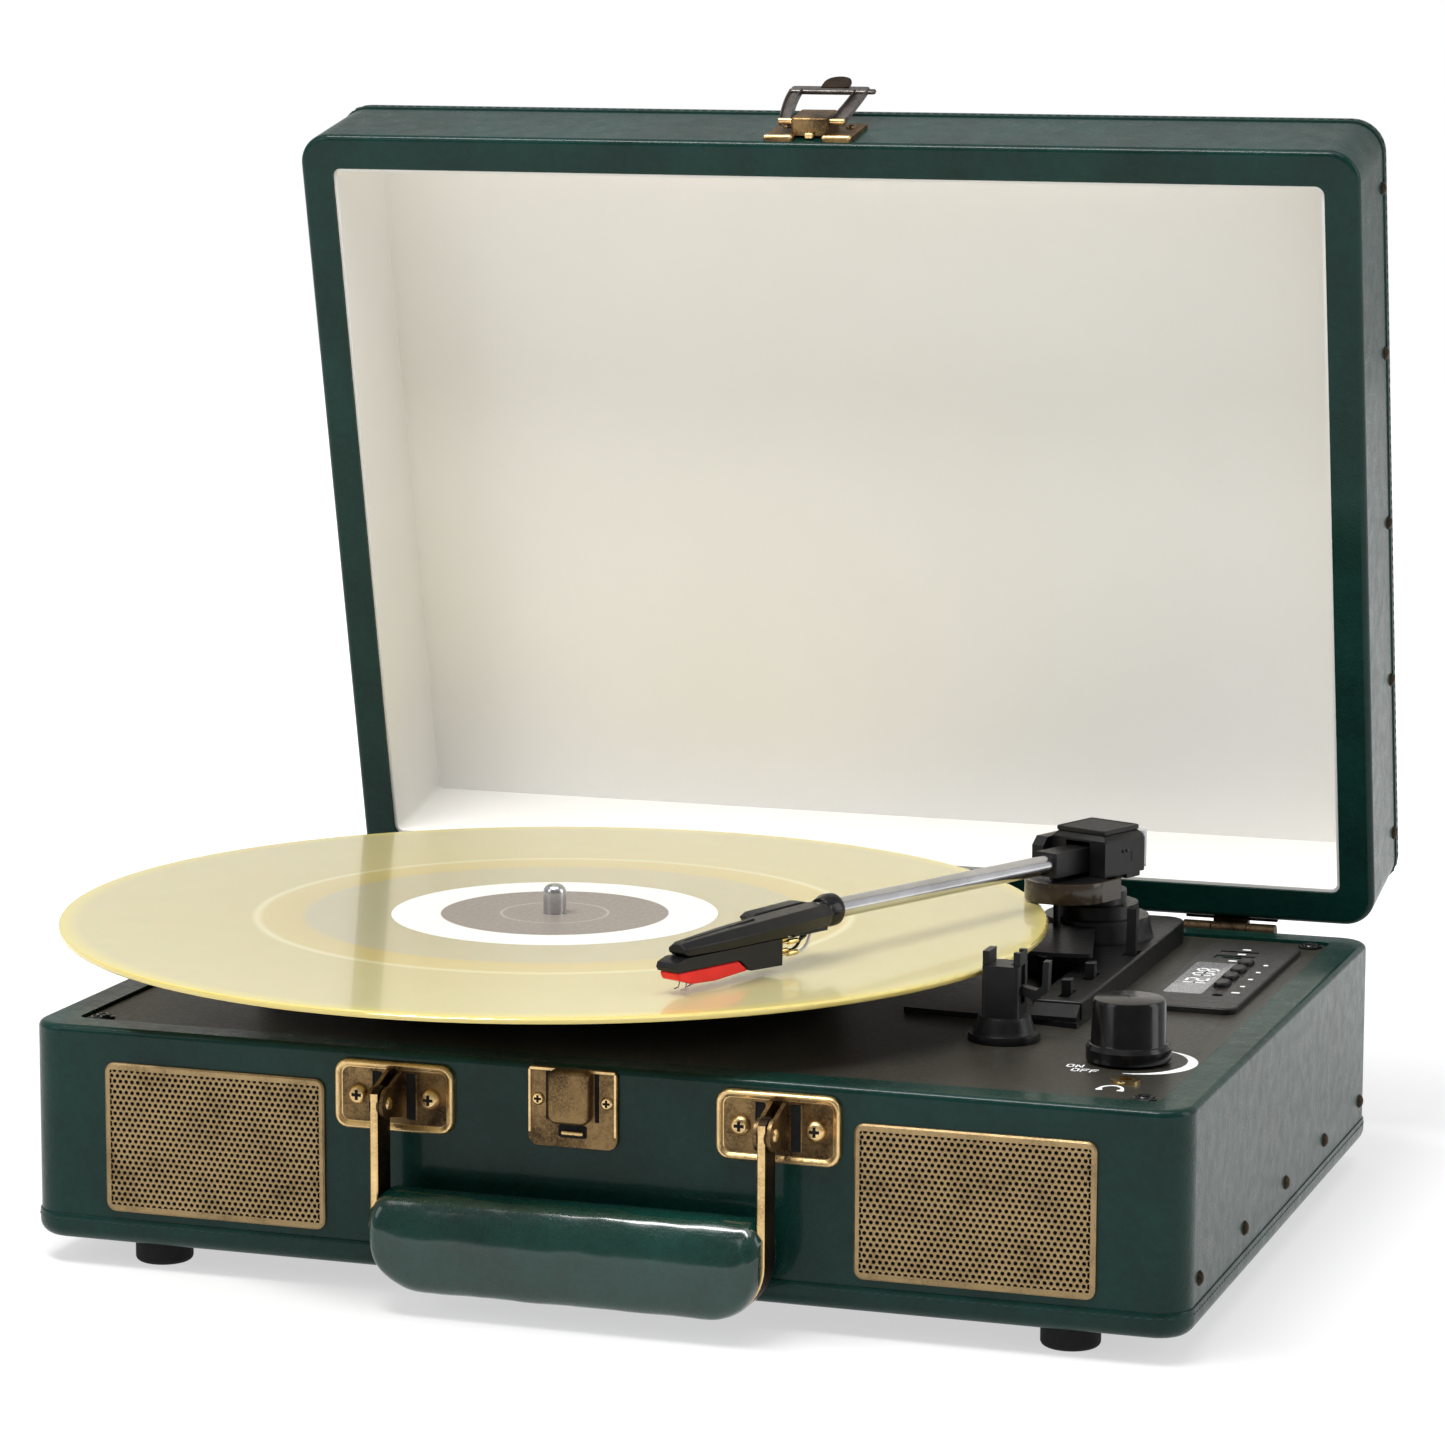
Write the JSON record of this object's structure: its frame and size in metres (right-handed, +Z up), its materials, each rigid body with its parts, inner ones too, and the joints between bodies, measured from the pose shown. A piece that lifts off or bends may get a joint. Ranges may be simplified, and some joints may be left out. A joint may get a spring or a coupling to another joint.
{
  "type": "suitcase record player",
  "caption": "Portable suitcase turntable with a hinged lid, front speaker grilles, carrying handle, tonearm and a twelve inch record on its platter.",
  "frame": {"origin": "on the surface that the feet stand on, under the middle of the object's whole box with the lid open", "axes": "+Z up, +X to the right of somebody facing the front, +Y to the back"},
  "size_m": [0.3774, 0.3365, 0.3421],
  "materials": {
    "green_leather": "glossy creased imitation leather",
    "grip_leather": "glossy padded imitation leather",
    "cream_lining": "matt",
    "foot_rubber": "matt",
    "deck_black": "satin",
    "black_steel": "satin",
    "antique_brass": "antique, dark in the recesses",
    "grille_brass": "satin",
    "speaker_paper": "matt",
    "bush_brass": "turned",
    "bright_steel": "bright",
    "belt_rubber": "matt",
    "platter_plastic": "satin",
    "mat_felt": "felt",
    "record_vinyl": "milky, glossy, grooved",
    "label_paper": "paper",
    "black_plastic": "satin",
    "panel_plastic": "satin",
    "display_glass": "gloss",
    "board_green": "satin",
    "knob_gloss": "gloss with a spun metal cap",
    "rear_plastic": "satin",
    "smoked_plastic": "smoked",
    "grey_plastic": "translucent",
    "arm_chrome": "polished",
    "red_plastic": "gloss"
  },
  "bodies": {
    "case": {"case_shell": "green_leather", "bottom_panel": "green_leather", "feet": "foot_rubber", "deck_plate": "deck_black", "deck_screws": "black_steel", "case_nails": "antique_brass", "speaker_grilles": "grille_brass", "speakers": "black_steel", "speaker_cones": "speaker_paper", "handle_plates": "antique_brass", "handle_pins": "antique_brass", "front_screws": "antique_brass", "catch_plate": "antique_brass", "hinge_case_leaves": "antique_brass", "bearing_bush": "bush_brass", "motor": "bright_steel", "drive_belt": "belt_rubber", "armboard": "black_plastic", "pivot_column": "black_plastic", "rest_post": "black_plastic", "control_panel": "panel_plastic", "display_window": "display_glass", "panel_board": "board_green", "volume_control": "bright_steel", "headphone_jack": "bush_brass", "main_board": "board_green", "rear_sockets": "rear_plastic"},
    "handle": {"handle_strap": "antique_brass", "handle_grip": "grip_leather"},
    "lid": {"lid_shell": "green_leather", "lid_lining": "cream_lining", "lid_nails": "antique_brass", "latch_plate": "antique_brass", "hinge_lid_leaves": "antique_brass"},
    "latch_loop": {"latch_loop": "antique_brass"},
    "platter": {"platter": "platter_plastic", "slipmat": "mat_felt", "spindle": "bright_steel", "record": "record_vinyl", "record_label": "label_paper"},
    "motor_pulley": {"motor_pulley": "bush_brass"},
    "arm_head": {"arm_head": "black_plastic", "arm_drum": "smoked_plastic", "arm_end_plate": "grey_plastic"},
    "tonearm": {"arm_sleeve": "black_plastic", "arm_tube": "arm_chrome", "headshell": "black_plastic", "cartridge": "black_plastic", "stylus_holder": "red_plastic", "needle": "bush_brass"},
    "lift_platform": {"lift_platform": "black_plastic"},
    "cue_lever": {"cue_lever": "black_plastic"},
    "rest_clip": {"rest_clip": "black_plastic"},
    "speed_switch": {"speed_switch": "black_plastic"},
    "stop_switch": {"stop_switch": "black_plastic"},
    "volume_knob": {"volume_knob": "knob_gloss"},
    "button_1": {"button_1": "black_plastic"},
    "button_2": {"button_2": "black_plastic"},
    "button_3": {"button_3": "black_plastic"},
    "button_4": {"button_4": "black_plastic"}
  },
  "joints": [
    {"name": "lid_hinge", "type": "hinge", "parent": "case", "child": "lid", "pos_m": [0.0139, 0.1262, 0.071], "axis": [1, 0, 0], "range_deg": [-22, 5]},
    {"name": "latch_swing", "type": "hinge", "parent": "lid", "child": "latch_loop", "pos_m": [0.0124, 0.07936, 0.32997], "axis": [1, 0, 0], "range_deg": [0, 160]},
    {"name": "handle_swing", "type": "hinge", "parent": "case", "child": "handle", "pos_m": [0.0139, -0.1438, 0.0595], "axis": [-1, 0, 0], "range_deg": [0, 95]},
    {"name": "platter_spin", "type": "hinge", "parent": "case", "child": "platter", "pos_m": [-0.0379, -0.0174, 0.089], "axis": [0, 0, -1], "continuous": true},
    {"name": "motor_spin", "type": "hinge", "parent": "case", "child": "motor_pulley", "pos_m": [-0.10718, 0.0226, 0.079], "axis": [0, 0, -1], "continuous": true},
    {"name": "arm_swing", "type": "hinge", "parent": "case", "child": "arm_head", "pos_m": [0.1108, 0.0698, 0.1038], "axis": [0, 0, 1], "range_deg": [-21, 20]},
    {"name": "arm_lift", "type": "hinge", "parent": "arm_head", "child": "tonearm", "pos_m": [0.1108, 0.0698, 0.1038], "axis": [-0.9291, 0.3697, 0], "range_deg": [0, 8]},
    {"name": "lift_raise", "type": "slide", "parent": "case", "child": "lift_platform", "axis": [0, 0, 1], "range_m": [0, 0.0045]},
    {"name": "cue_swing", "type": "hinge", "parent": "case", "child": "cue_lever", "pos_m": [0.1281, 0.0455, 0.0764], "axis": [1, 0, 0], "range_deg": [0, 35]},
    {"name": "clip_swing", "type": "hinge", "parent": "case", "child": "rest_clip", "pos_m": [0.1192, -0.0545, 0.086], "axis": [0, -1, 0], "range_deg": [0, 30]},
    {"name": "speed_slide", "type": "slide", "parent": "case", "child": "speed_switch", "axis": [0, 1, 0], "range_m": [-0.0035, 0.0035]},
    {"name": "stop_slide", "type": "slide", "parent": "case", "child": "stop_switch", "axis": [0, 1, 0], "range_m": [-0.0035, 0.0035]},
    {"name": "volume_turn", "type": "hinge", "parent": "case", "child": "volume_knob", "pos_m": [0.1559, -0.0705, 0.076], "axis": [0, 0, -1], "range_deg": [-140, 140]},
    {"name": "button_1_press", "type": "slide", "parent": "case", "child": "button_1", "axis": [0, 0, -1], "range_m": [0, 0.001], "stiffness_N_per_m": 300, "springref_m": -0.0004},
    {"name": "button_2_press", "type": "slide", "parent": "case", "child": "button_2", "axis": [0, 0, -1], "range_m": [0, 0.001], "stiffness_N_per_m": 300, "springref_m": -0.0004},
    {"name": "button_3_press", "type": "slide", "parent": "case", "child": "button_3", "axis": [0, 0, -1], "range_m": [0, 0.001], "stiffness_N_per_m": 300, "springref_m": -0.0004},
    {"name": "button_4_press", "type": "slide", "parent": "case", "child": "button_4", "axis": [0, 0, -1], "range_m": [0, 0.001], "stiffness_N_per_m": 300, "springref_m": -0.0004}
  ],
  "couplings": [
    {"joint": "motor_spin", "follows": "platter_spin", "ratio": 12.4},
    {"joint": "cue_swing", "follows": "lift_raise", "rad_per_m": 135.75}
  ]
}
